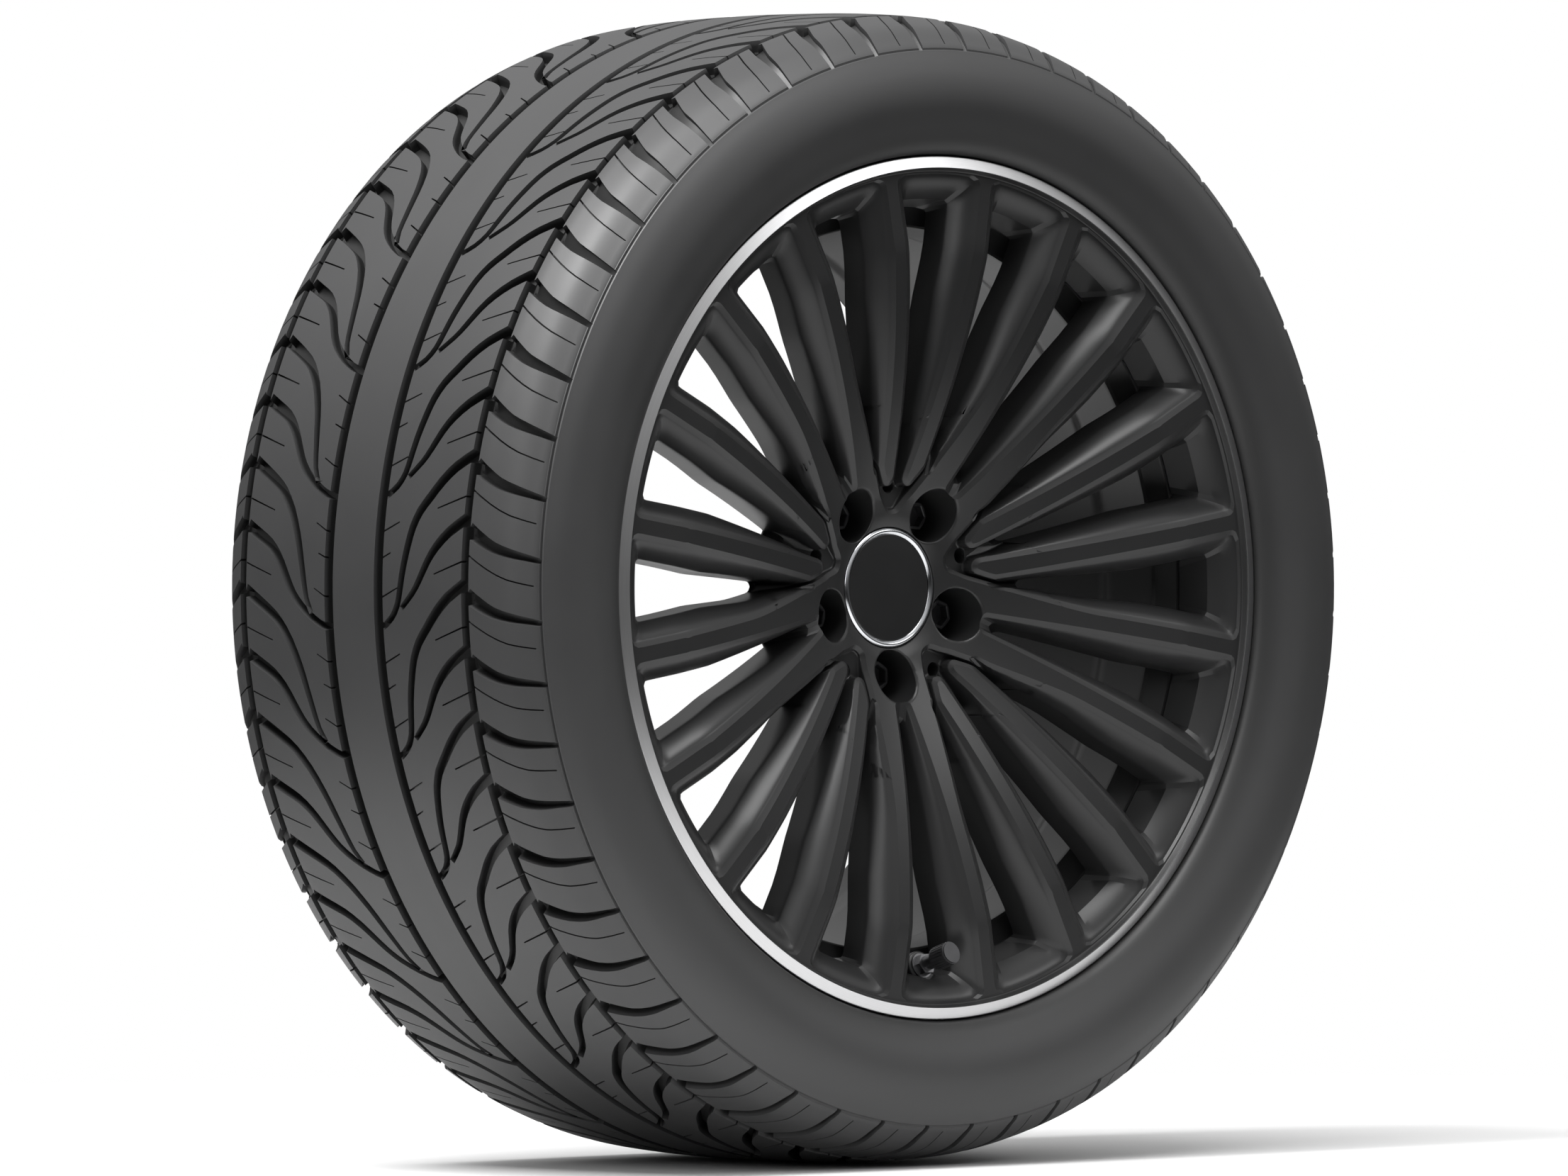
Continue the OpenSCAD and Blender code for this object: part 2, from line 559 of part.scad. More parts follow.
module valve_cap() {
    color("#7c7c7e") stood() valve_place() difference() {
        union() {
            translate([0, 0, cap_foot]) cylinder(d = valve_cap_d - 0.6, h = valve_cap_l - 0.8);
            translate([0, 0, cap_foot]) cylinder(d = valve_cap_d - 2, h = valve_cap_l);
            for (k = [0:knurls - 1]) rotate([0, 0, 360 / knurls * k])
                translate([valve_cap_d / 2 - 1, -0.5, cap_foot + 1]) cube([1, 1, valve_cap_l - 3]);
        }
        translate([0, 0, cap_foot - over]) cylinder(r = cap_in_r, h = valve_cap_l - 1.2 + over);
    }
}
module valve_cap_seal() {
    color("#1a1a1a") stood() valve_place() difference() {
        translate([0, 0, stem_end + 0.3]) cylinder(r = cap_in_r - 0.3, h = valve_l - 1.5 - stem_end - 0.3);
        translate([0, 0, stem_end]) cylinder(r = 2.2, h = 8);
    }
}
// Valve core: a body with a spring chamber below it, and a pin that closes the chamber's foot
core_r = stem_hole_r - 0.1;
core_top = stem_end - 2;
core_bottom = core_top - 8;
chamber_foot = core_bottom - 8;
chamber_r = 2.05;
lip_t = 0.8;
core_foot = chamber_foot - lip_t;
pin_r = 0.8;
pin_fit = 0.15;
pin_travel = 1.2;
seal_t = 2;
collar_t = 1;
collar_z = core_bottom - collar_t - 0.1;
module valve_core_body() {
    color("#b08d3c") stood() valve_place() difference() {
        union() {
            translate([0, 0, core_bottom]) cylinder(r = core_r, h = core_top - core_bottom);
            translate([0, 0, core_foot]) cylinder(r = core_r - 0.1, h = core_bottom - core_foot + over);
        }
        translate([0, 0, chamber_foot]) cylinder(r = chamber_r, h = core_bottom - chamber_foot);
        translate([0, 0, core_foot - over])
            cylinder(r = pin_r + pin_fit, h = core_top - core_foot + 2 * over);
        translate([-0.6, -core_r - over, core_top - 2]) cube([1.2, 2 * core_r + 2 * over, 2 + over]);
    }
}
module valve_core_pin() {
    color("#b08d3c") stood() valve_place() {
        translate([0, 0, core_foot - seal_t]) cylinder(r = pin_r, h = stem_end - 0.6 - core_foot + seal_t);
        translate([0, 0, collar_z]) cylinder(r = chamber_r - 0.2, h = collar_t);
    }
}
module valve_core_gasket() {
    color("#1a1a1a") stood() valve_place() translate([0, 0, core_foot - seal_t - 0.05]) difference() {
        cylinder(r = chamber_r, h = seal_t);
        translate([0, 0, -over]) cylinder(r = pin_r + 0.03, h = seal_t + 2 * over);
    }
}
// The spring stands at its pressed length, so the pin's collar has room to come down
module valve_core_spring() {
    spring_l = collar_z - pin_travel - chamber_foot - 0.2;
    color("#9a9a9a") stood() valve_place() translate([0, 0, chamber_foot + 0.05]) difference() {
        cylinder(r = chamber_r - 0.1, h = spring_l);
        translate([0, 0, -over]) cylinder(r = pin_r + 0.3, h = spring_l + 2 * over);
    }
}

// Pressure sensor on the foot of the stem, lying over the well
sensor_w = 26;
sensor_l = 46;
sensor_out = 10;
sensor_in = 4.2;
sensor_end = foot_end - sensor_w;
screw_head_r = 3;
screw_head_t = 2.2;
head_depth = 4;
module sensor_housing() {
    color("#222222") stood() valve_place() difference() {
        translate([-sensor_l / 2, -sensor_out, sensor_end])
            cube([sensor_l, sensor_out + sensor_in, sensor_w]);
        translate([0, 0, sensor_end - over]) cylinder(r = screw_r + 0.3, h = sensor_w + 2 * over);
        translate([0, 0, sensor_end - over]) cylinder(r = screw_head_r + 0.4, h = head_depth + over);
    }
}
module sensor_screw() {
    color("#9a9a9a") stood() valve_place() {
        translate([0, 0, sensor_end + head_depth - screw_head_t])
            cylinder(r = screw_head_r, h = screw_head_t);
        translate([0, 0, sensor_end + head_depth - over]) cylinder(r = screw_r, h = sensor_w);
    }
}

alloy_wheel();
tyre();
cap_body();
cap_ring();
cap_disc();
cap_spring_wire();
wheel_bolt(1);  // wheel_bolt_1
wheel_bolt(2);  // wheel_bolt_2
wheel_bolt(3);  // wheel_bolt_3
wheel_bolt(4);  // wheel_bolt_4
wheel_bolt(5);  // wheel_bolt_5
valve_stem();
valve_nut();
valve_washer();
valve_grommet();
valve_cap();
valve_cap_seal();
valve_core_body();
valve_core_pin();
valve_core_gasket();
valve_core_spring();
sensor_housing();
sensor_screw();
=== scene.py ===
"""Looks of the alloy road wheel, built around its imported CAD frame."""
import math
from collections import namedtuple

import bmesh
import bpy
import numpy as np
from mathutils import Matrix, Vector


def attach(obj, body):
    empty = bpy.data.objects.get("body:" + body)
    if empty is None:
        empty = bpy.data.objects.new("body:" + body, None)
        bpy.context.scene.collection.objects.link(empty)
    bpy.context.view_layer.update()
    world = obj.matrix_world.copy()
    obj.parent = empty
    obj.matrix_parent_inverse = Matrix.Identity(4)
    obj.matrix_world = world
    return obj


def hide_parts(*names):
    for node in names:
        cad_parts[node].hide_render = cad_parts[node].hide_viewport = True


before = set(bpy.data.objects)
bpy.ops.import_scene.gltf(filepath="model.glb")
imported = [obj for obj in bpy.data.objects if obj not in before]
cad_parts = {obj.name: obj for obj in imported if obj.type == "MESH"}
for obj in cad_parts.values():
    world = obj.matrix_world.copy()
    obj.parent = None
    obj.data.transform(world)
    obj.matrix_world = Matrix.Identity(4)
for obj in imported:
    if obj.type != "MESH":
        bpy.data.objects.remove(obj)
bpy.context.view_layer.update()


# Alloy wheel: one aluminium casting, with a turned barrel, a dished face of 20 spokes and a hub
# with five bolt wells. It is painted satin black, and the edge of its rim is turned bright after
# that. Every height on the face is a fall behind the plane of that bright lip.
RIM_EDGE, HUB, DISH, BEND, CAP_HOLE, LIP = 262.0, 56.0, 44.0, 215.0, 38.3, 144.85
BEND_FALL, HUB_FALL, DISH_STEP, CAP_STEP = 3.0, 47.0, 2.8, 2.2
BACK_START, BACK_END, DISC_DEPTH, MOUNT = 76.0, 106.0, 32.0, 45.0
FLAT, BEVEL, BEVEL_FALL, SCOOP, PLATE = 4.6, 2.8, 1.8, 10.8, 16.5
FIFTH, PAIR_TURN, BOLT_TURN, BOLT_RING = 72, 18, 54, 56.0


def mixed(a, b, share):
    return a + (b - a) * share


def face_height(radius):
    r = np.asarray(radius, float)
    t = np.clip((BEND - r) / (BEND - HUB), 0, 1)
    fall = np.where(r >= BEND, BEND_FALL + (r - BEND) / (RIM_EDGE - BEND),
                    mixed(BEND_FALL, HUB_FALL, 0.45 * t + 0.55 * t * t))
    fall = np.where(r < HUB, HUB_FALL + DISH_STEP * (HUB - r) / (HUB - DISH), fall)
    in_cup = HUB_FALL + DISH_STEP + CAP_STEP * (DISH - r) / (DISH - CAP_HOLE)
    return LIP - np.where(r < DISH, in_cup, fall)


def back_height(radius):
    r = np.asarray(radius, float)
    rise = np.clip((r - BACK_START) / (BACK_END - BACK_START), 0, 1) ** 0.8
    inner = mixed(MOUNT, face_height(BACK_END) - DISC_DEPTH, rise)
    return np.where(r >= BACK_END, face_height(r) - DISC_DEPTH, inner)


def solid(name, points, faces):
    """Points are in millimetres in a lying frame: the outer face looks along +z and the wheel's
    top lies along +y. They are stood up and scaled to metres here."""
    p = np.asarray(points, float)
    mesh = bpy.data.meshes.new(name)
    mesh.from_pydata(np.stack([p[:, 0], -p[:, 2], p[:, 1]], 1) / 1000, [], faces)
    made = bmesh.new()
    made.from_mesh(mesh)
    bmesh.ops.recalc_face_normals(made, faces=made.faces)
    made.to_mesh(mesh)
    made.free()
    shown = bpy.data.objects.new(name, mesh)
    bpy.context.scene.collection.objects.link(shown)
    return shown


def lathe(name, outline, steps, place=None):
    """Turns a closed outline of (r, z) points round the z axis."""
    p = np.asarray(outline, float)
    m, angle = len(p), np.arange(steps) * 2 * np.pi / steps
    r, z = np.tile(p[:, 0], steps), np.tile(p[:, 1], steps)
    a = np.repeat(angle, m)
    points = np.stack([r * np.cos(a), r * np.sin(a), z], 1)
    if place is not None:
        points = place(points)
    faces = [(i * m + j, i * m + (j + 1) % m, (i + 1) % steps * m + (j + 1) % m,
              (i + 1) % steps * m + j) for i in range(steps) for j in range(m)]
    return solid(name, points, faces)


def softened(outline, pieces=4):
    """Outline points are (r, z, length cut off each side of the corner)."""
    p = [np.array(q[:2], float) for q in outline]
    made = []
    for i, (here, q) in enumerate(zip(p, outline)):
        cut = q[2] if len(q) > 2 else 0
        before, after = p[i - 1] - here, p[(i + 1) % len(p)] - here
        if cut == 0:
            made.append(here)
            continue
        a = here + before / np.linalg.norm(before) * min(cut, np.linalg.norm(before) * 0.48)
        b = here + after / np.linalg.norm(after) * min(cut, np.linalg.norm(after) * 0.48)
        for k in range(pieces + 1):
            t = k / pieces
            made.append(a * (1 - t) ** 2 + here * 2 * t * (1 - t) + b * t * t)
    return made


# The casting's section, from the front of the bore round the rim and back to the mounting face.
barrel_front = RIM_EDGE - PLATE - 4
well_front = float(back_height(barrel_front)) - 6
bead_side = [(271.3, LIP - 2.4, 1.0), (271.3, 134.25, 0.4), (267.3, 133.35, 0.6),
             (258.5, 133.35, 1.5), (255.2, 131.75, 1), (254, 128.15, 2), (252.8, 114.65, 2),
             (253.9, 110.65, 1.5), (252.4, 106.65, 1.5)]
inner_side = [(r, -z, c) for r, z, c in bead_side[::-1]]
inner_side[-1] = (271.3, -136.95, 1.0)
tyre_side = bead_side + [(250, 103.35, 3), (233, 91.35, 4), (233, 53.35, 4), (243.5, 36.35, 4),
                         (248, -97.35, 3)] + inner_side
face = [(r, float(face_height(r)), 0) for r in (
    *np.linspace(HUB, BEND, 40), *np.linspace(BEND + 8, RIM_EDGE - 2, 5))]
back = [(r, float(back_height(r)), 0) for r in (
    *np.linspace(barrel_front - 3, BACK_END, 14), *np.linspace(BACK_END - 3, 80, 6))]
section = [(33.3, 47, 0.3), (33.3, 73.25, 0.3), (34, 74.25, 0.3), (34, 77.25, 0),
           (35.3, 77.85, 0), (35.3, 80.25, 0), (34, 81.75, 0), (34, 89.25, 0.3),
           (CAP_HOLE, 89.25, 0.3), (CAP_HOLE, float(face_height(CAP_HOLE)), 0.9),
           (DISH, float(face_height(DISH)), 3)] + face + [
    (RIM_EDGE, float(face_height(RIM_EDGE)), 0.8), (263.6, 144.45, 0.25), (264, LIP, 0.15)] + \
    tyre_side + [(264, -139.35, 1), (252, -138.35, 2), (247.6, -133.35, 2), (247.6, -111.35, 4),
                 (243, -93.35, 5), (238.5, 36.35, 6), (228, 51.35, 6), (228, well_front - 9, 4),
                 (barrel_front, well_front, 2.5)] + back + [
    (BACK_START, MOUNT + 3, 1), (74, MOUNT, 0.4), (35.3, MOUNT, 0.6)]
wheel = lathe("wheel_looks", softened(section, 3), 216)


# The 20 windows between the spokes.
def tube_faces(rings, first, ends):
    n, faces = len(rings[0]), []
    for k in range(len(rings) - 1):
        a, b = first + k * n, first + (k + 1) * n
        faces += [(a + i, a + (i + 1) % n, b + (i + 1) % n, b + i) for i in range(n)]
    return faces + [tuple(first + i for i in end) for end in ends]


def loft(name, lofts):
    points, faces = [], []
    for rings, ends in lofts:
        faces += tube_faces(rings, len(points), ends)
        points += [tuple(p) for ring in rings for p in ring]
    return solid(name, points, faces)


def combine(body, tool, operation="DIFFERENCE"):
    modifier = body.modifiers.new("combine", "BOOLEAN")
    modifier.operation, modifier.solver, modifier.object = operation, "MANIFOLD", tool
    bpy.context.view_layer.objects.active = body
    bpy.ops.object.modifier_apply(modifier=modifier.name)
    bpy.data.objects.remove(tool)


# A level is one outline of a window, from above the face to behind the disc. It holds the width
# past the flat top, the shares of the scoop's width and fall, the fall, the inner and outer
# radius, the share of the way to the back, and the radius of the outer corners.
Level = namedtuple("Level", "width scoop scoop_fall fall inner outer back corner")
STATIONS, END_STATIONS, TIP_LENGTH = 31, 8, 5.0
SCOOP_START, SCOOP_RISE, WIDE_END, WIDE_MOST = 60.0, 0.0079, 146.0, 11.5


def scoop_width(r):
    return np.maximum(0.6, np.minimum(1, (r - SCOOP_START) * SCOOP_RISE) * SCOOP)


def widening(r, wide):
    return WIDE_MOST * (np.clip(WIDE_END - r, 0, None) / 100) ** 1.25 * wide


def side_angle(level, r, wide):
    width = FLAT + level.width + level.scoop * scoop_width(r) + widening(r, wide)
    return np.maximum(0.3, PAIR_TURN / 2 - np.degrees(np.arcsin(np.minimum(0.9, width / r))))


def level_height(level, r):
    front = face_height(r) - level.fall - level.scoop_fall * (3 + 0.85 * scoop_width(r))
    if level.back == 0:
        return front
    return mixed(front, back_height(np.maximum(r, BACK_START)) - 6, level.back)


def half_span(level, r, up, low):
    """Half the window's angle, with its inner tip rounded and its outer corners rounded."""
    before_tip = np.clip(level.inner + TIP_LENGTH - r, 0, None)
    share = np.sqrt(np.clip(1 - (before_tip / TIP_LENGTH) ** 2, 0, 1))
    depth = np.clip(r - level.outer + level.corner, 0, level.corner)
    off = level.corner - np.sqrt(np.clip(level.corner ** 2 - depth ** 2, 0, None))
    return np.maximum(0.05, (up + low) / 2 * share - np.degrees(np.arctan(off / r)))


def window_ring(level, wide, centre):
    t = np.linspace(0, 1, STATIONS)
    t = mixed(t, 0.5 - 0.5 * np.cos(np.pi * t), 0.75)
    r = mixed(level.inner, level.outer, t)
    up, low = side_angle(level, r, wide[0]), side_angle(level, r, wide[1])
    middle, half = (up - low) / 2, half_span(level, r, up, low)
    end = np.linspace(-1, 1, END_STATIONS + 2)[1:-1]
    radii = np.concatenate([r, np.full(END_STATIONS, level.outer), r[::-1]])
    angles = np.radians(centre + np.concatenate([
        middle - half, middle[-1] + half[-1] * end, (middle + half)[::-1]]))
    return np.stack([radii * np.cos(angles), radii * np.sin(angles), level_height(level, radii)], 1)


def window_levels(inner, ramp):
    """The bevel, then the scoop's round flank, then the straight wall to the back."""
    levels = [Level(-BEVEL * 0.9, 0, 0, -BEVEL_FALL * 0.9, inner, RIM_EDGE, 0, 7),
              Level(BEVEL, 0, 0, BEVEL_FALL, inner + 2, RIM_EDGE - 2, 0, 6)]
    for u in (0.08, 0.18, 0.3, 0.42, 0.54, 0.66, 0.77, 0.87, 0.94, 1.0):
        levels.append(Level(BEVEL, u, u ** 1.56, BEVEL_FALL, inner + 2 + 10 * u ** 1.74,
                            RIM_EDGE - 2 - (PLATE - 1) * u, 0, 6 - 3 * u))
    for v, out in ((0.03, 0.3), (0.08, 0.5), (0.16, 0.65), (0.3, 0.8), (0.5, 1.0), (0.75, 1.25),
                   (1.0, 1.5)):
        levels.append(Level(BEVEL + out, 1, 1, BEVEL_FALL, inner + 12 + ramp * v ** 0.8,
                            mixed(RIM_EDGE - PLATE - 1, barrel_front - 2, v), v, 3 + 4 * v))
    return levels


def window(inner, ramp, wide, centre):
    rings = [window_ring(level, wide, centre) for level in window_levels(inner, ramp)]
    n, first, far = len(rings[0]), (len(rings) - 1) * len(rings[0]), STATIONS - 1
    end = [(i, i + 1, n - 2 - i, n - 1 - i) for i in range(far)] + [tuple(range(far, n - far))]
    return rings, end + [tuple(first + i for i in face) for face in end]


windows = []
for k in range(5):
    centre = PAIR_TURN + FIFTH * k
    windows += [window(68, 28, (0, 0), centre), window(72, 35.5, (1, 0), centre + PAIR_TURN),
                window(72, 35.5, (0, 1), centre - PAIR_TURN),
                window(69, 24, (0, 0), centre + 2 * PAIR_TURN)]
combine(wheel, loft("windows", windows))


# Hub recess round the tips of each pair of inner spokes: a V with a filleted floor.
def shifted(outline, out):
    before, after = np.roll(outline, 1, 0), np.roll(outline, -1, 0)
    along = after - before
    along /= np.linalg.norm(along, axis=1)[:, None]
    return outline + np.stack([along[:, 1], -along[:, 0]], 1) * np.reshape(out, (-1, 1))


def capped(rings):
    """Closes a stack of rings with a point in the middle of each end."""
    rings = [np.asarray(r) for r in rings]
    n = len(rings[0])
    ends = [np.repeat(r.mean(0)[None], n, 0) for r in (rings[0], rings[-1])]
    return [ends[0] * 0.999 + rings[0] * 0.001, *rings, ends[1] * 0.999 + rings[-1] * 0.001], \
        [tuple(range(n)), tuple((len(rings) + 1) * n + i for i in range(n))]


def curve_through(points, pieces):
    p = np.asarray(points, float)
    made = [p[0]]
    for i in range(len(p) - 1):
        a, b, c, d = p[max(i - 1, 0)], p[i], p[i + 1], p[min(i + 2, len(p) - 1)]
        for k in range(1, pieces + 1):
            t = k / pieces
            made.append(0.5 * (2 * b + (c - a) * t + (2 * a - 5 * b + 4 * c - d) * t * t
                               + (3 * b - a - 3 * c + d) * t ** 3))
    return [tuple(q) for q in made]


def recess_outline():
    """Half of the V: its edge on the outer spoke, then round the tip of the inner spoke."""
    edge = [(46.4, 0), (46.6, 2.4), (47.6, 4.8), (49.6, 6.9), (53, 9.4)]
    for r in np.linspace(60, 124, 16):
        width = FLAT + float(widening(r, 1))
        a = math.radians(PAIR_TURN * 1.5 - math.degrees(math.asin(width / r)))
        edge.append((r * math.cos(a), r * math.sin(a)))
    tip = [(124, 6.4), (112, 6.7), (102, 6.9), (93, 7), (86, 6.5), (80, 4.9), (75, 2.9), (71.5, 1),
           (68.4, -0.6), (67.6, -2.1), (68.3, -3.8), (70.5, -4.6), (76, -4.8), (88, -4.8),
           (100, -4.8), (112, -4.8)]
    turn = [(math.atan2(w, r) + math.radians(PAIR_TURN / 2), math.hypot(r, w)) for r, w in tip]
    tip = [(r * math.cos(a), r * math.sin(a)) for a, r in turn]
    flat_end = np.linspace(edge[-1], tip[0], 4)[1:-1]
    half = np.array(curve_through(edge, 2) + [tuple(q) for q in flat_end] + curve_through(tip, 2))
    half = half[half[:, 1] > 0.05]
    return np.concatenate([[(46.4, 0)], half, half[::-1] * (1, -1)])


def turned(points, angle):
    c, s = math.cos(math.radians(angle)), math.sin(math.radians(angle))
    p = np.array(points, float)
    p[:, :2] = p[:, :2] @ np.array([[c, s], [-s, c]])
    return p


recess_floor, recesses = LIP - 52.5, []
outline = recess_outline()
reach = np.hypot(*outline.T)
outward = np.clip((reach - 80) / 25, 0, 1)
flank = scoop_width(reach) * outward
fall_out = np.clip((reach - 85) / 35, 0, 1)
floor_line = recess_floor - 3.3 * fall_out ** 2 * (3 - 2 * fall_out)
foot_height = face_height(reach) - BEVEL_FALL
for k in range(5):
    rings = []
    for out, fall in ((-BEVEL * 0.9, -BEVEL_FALL * 0.9), (0, 0), (BEVEL, BEVEL_FALL)):
        rings.append(np.c_[shifted(outline, out + 0.25 * outward), face_height(reach) - fall])
    for u in (0.3, 0.6, 1):
        wall = foot_height - u ** 1.56 * (3 + 0.85 * scoop_width(reach))
        rings.append(np.c_[shifted(outline, BEVEL + 0.25 + 0.1 * u + flank * u),
                           np.maximum(wall, floor_line + 1.6 + 0.4 * (1 - u))])
    for bend in np.radians((15, 40, 65, 90)):
        flat = shifted(outline, BEVEL + 0.35 + flank + 1.5 * (1 - math.cos(bend)))
        rings.append(np.c_[flat, floor_line + 1.5 * (1 - math.sin(bend))])
    recesses.append(capped([turned(r, PAIR_TURN + FIFTH * k) for r in rings]))
combine(wheel, loft("recesses", recesses))

# A dimple in each recess, and the five bolt wells with their rounded mouths and ball seats.
BALL, SEAT_EDGE, SEAT_HEIGHT, SEAT_START, DIMPLE = 14, 11.5, 66, 34.8, 64.5
seat_rise = math.sqrt(BALL ** 2 - SEAT_EDGE ** 2)
ring_angle = np.radians(np.arange(0, 360, 3.75))


def ring_at(r, at, height=None, fall=None):
    x, y = at + r * np.cos(ring_angle), r * np.sin(ring_angle)
    z = np.full(len(x), height) if fall is None else face_height(np.hypot(x, y)) - fall
    return np.stack([x, y, z], 1)


dimple = [ring_at(r, DIMPLE, recess_floor + rise) for r, rise in (
    (5.3, 3), (5.3, 0.1), (4.9, -0.25), (4.6, -0.8), (4.6, -11))]
well = [ring_at(r, BOLT_RING, fall=fall) for r, fall in (
    (18.6, -4), (18.3, 0), (17.5, 0.15), (17, 0.5), (16.7, 1), (16.6, 1.7))]
well += [ring_at(r, BOLT_RING, height) for r, height in (
    (16.6, 69), (16.1, 67), (15.1, 66.2), (SEAT_EDGE, SEAT_HEIGHT))]
for a in np.radians([SEAT_START + step * 0.56 for step in (10, 20, 30, 40)]):
    well.append(ring_at(BALL * math.cos(a), BOLT_RING,
                        SEAT_HEIGHT + seat_rise - BALL * math.sin(a)))
well += [ring_at(7.6, BOLT_RING, 62), ring_at(7.6, BOLT_RING, 43)]
wells = []
for k in range(5):
    wells.append(capped([turned(r, PAIR_TURN + FIFTH * k) for r in dimple]))
    wells.append(capped([turned(r, BOLT_TURN + FIFTH * k) for r in well]))
combine(wheel, loft("wells", wells))


# Valve boss and hole through the barrel. The valve's own axis leans towards the wheel's centre.
VALVE_LEAN, VALVE_RADIUS, VALVE_FALL = math.radians(17.7), 238, 24


def on_valve(points):
    c, s = math.cos(VALVE_LEAN), math.sin(VALVE_LEAN)
    p = np.array(points, float)
    return np.stack([p[:, 0], -VALVE_RADIUS + c * p[:, 1] + s * p[:, 2],
                     LIP - VALVE_FALL - s * p[:, 1] + c * p[:, 2]], 1)


boss = lathe("boss", softened([(0.01, -22), (10, -22), (10, 0, 1.2), (0.01, 0)]), 64, on_valve)
combine(boss, lathe("boss_room", [(217, 0), (217, LIP)] + [
    (r - 0.6, z) for r, z in softened(tyre_side) if z > 0], 180), "INTERSECT")
combine(wheel, boss, "UNION")
combine(wheel, lathe("valve_hole", [(0.01, -30), (9.5, -30), (9.5, -16), (5.75, -16), (5.75, -0.4),
                                    (6.15, 0), (10.5, 0), (10.5, 40), (0.01, 40)], 64, on_valve))


def smooth(body, angle=19):
    bpy.ops.object.select_all(action="DESELECT")
    body.select_set(True)
    bpy.context.view_layer.objects.active = body
    bpy.ops.object.shade_smooth_by_angle(angle=math.radians(angle))
    modifier = body.modifiers.new("even", "WEIGHTED_NORMAL")
    modifier.keep_sharp = True
    bpy.ops.object.modifier_apply(modifier=modifier.name)


smooth(wheel)
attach(wheel, "wheel")
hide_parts("alloy_wheel")


# Satin black paint, and the bright turned lip with its fine turning marks. A Wire carries a
# node's output, so that sums and products of wires build nodes.
class Wire:
    def __init__(self, recipe, socket):
        self.recipe, self.socket = recipe, socket

    def maths(self, operation, first, second):
        return self.recipe.node("ShaderNodeMath", 0, (first, second), operation=operation)

    def __add__(self, other):
        return self.maths("ADD", self, other)

    def __sub__(self, other):
        return self.maths("SUBTRACT", self, other)

    def __rsub__(self, other):
        return self.maths("SUBTRACT", other, self)

    def __mul__(self, other):
        return self.maths("MULTIPLY", self, other)

    def __pow__(self, other):
        return self.maths("POWER", self, other)

    def __rpow__(self, other):
        return self.maths("POWER", other, self)

    __radd__, __rmul__ = __add__, __mul__

    def spread(self, low, high, first, last):
        return self.recipe.node("ShaderNodeMapRange", 0, (self, low, high, first, last),
                                interpolation_type="SMOOTHSTEP")

    def above(self, low, high):
        return self.spread(low, high, 0.0, 1.0)

    def between(self, low, high):
        return self.recipe.node("ShaderNodeMapRange", 0, (self, 0.0, 1.0, low, high))

    def colours(self, first, second):
        return self.recipe.node("ShaderNodeMix", 2, data_type="RGBA", values={
            0: self, 6: (*first, 1) if isinstance(first, tuple) else first,
            7: (*second, 1) if isinstance(second, tuple) else second})


class Recipe:
    def __init__(self, tree):
        self.tree = tree

    def node(self, kind, output, values=(), **settings):
        made = self.tree.nodes.new(kind)
        for key, value in settings.items():
            setattr(made, key, value)
        for key, value in (values.items() if isinstance(values, dict) else enumerate(values)):
            if isinstance(value, Wire):
                self.tree.links.new(value.socket, made.inputs[key])
            else:
                made.inputs[key].default_value = value
        return Wire(self, made.outputs[output])

    def along(self, axis, kind="Object"):
        place = self.node("ShaderNodeTexCoord", kind)
        return self.node("ShaderNodeSeparateXYZ", axis, (place,))

    def radius(self, other="Z"):
        """The distance from the axle, or from an upright line where the other axis is Y."""
        a, b = self.along("X"), self.along(other)
        return (a * a + b * b) ** 0.5


class Finish(Recipe):
    def __init__(self, name, **constants):
        self.material = bpy.data.materials.new(name)
        self.material.use_nodes = True
        super().__init__(self.material.node_tree)
        self.surface = self.tree.nodes["Principled BSDF"]
        for key, value in constants.items():
            self.surface.inputs[key.replace("_", " ")].default_value = value

    def feed(self, **wires):
        for key, wire in wires.items():
            self.tree.links.new(wire.socket, self.surface.inputs[key.replace("_", " ")])

    def noise(self, scale, detail):
        return self.node("ShaderNodeTexNoise", 0, {
            "Vector": self.node("ShaderNodeTexCoord", "Object"), "Scale": scale, "Detail": detail})

    def grained(self, dark, light, rough, cloud=40, grain=2500, depth=0.00003):
        """The colour and the roughness wander softly, and a fine grain lies over them."""
        wander, fine = self.noise(cloud, 3), self.noise(grain, 2)
        self.feed(Base_Color=wander.colours(dark, light), Roughness=wander.between(*rough),
                  Normal=self.bump(fine, 0.2, depth))
        return self

    def bump(self, height, strength, distance):
        return self.node("ShaderNodeBump", 0, {
            "Height": height, "Strength": strength, "Distance": distance})


def paint(body, finish):
    body.data.materials.clear()
    body.data.materials.append(finish.material)


casting = Finish("wheel paint", Specular_IOR_Level=0.36)
radius = casting.radius()
lip_band = radius.above(0.26385, 0.26405) * casting.along("Y").above(-0.1380, -0.1384)
cloud, fleck = casting.noise(9, 4), casting.noise(900, 2)
turning = casting.node("ShaderNodeTexNoise", 0, {
    "W": radius * 2600.0, "Scale": 1.0, "Detail": 3.0}, noise_dimensions="1D")
black = cloud.colours((0.015, 0.015, 0.0152), (0.02, 0.02, 0.0203))
silver = turning.colours((0.42, 0.42, 0.425), (0.6, 0.6, 0.605))
casting.feed(
    Base_Color=lip_band.colours(black, silver),
    Metallic=lip_band,
    Roughness=lip_band * turning.between(-0.06, 0.04) + cloud.between(0.3, 0.36),
    Normal=casting.bump(fleck * 0.25 + turning * lip_band * 1.5, 0.12, 0.00006))
paint(wheel, casting)


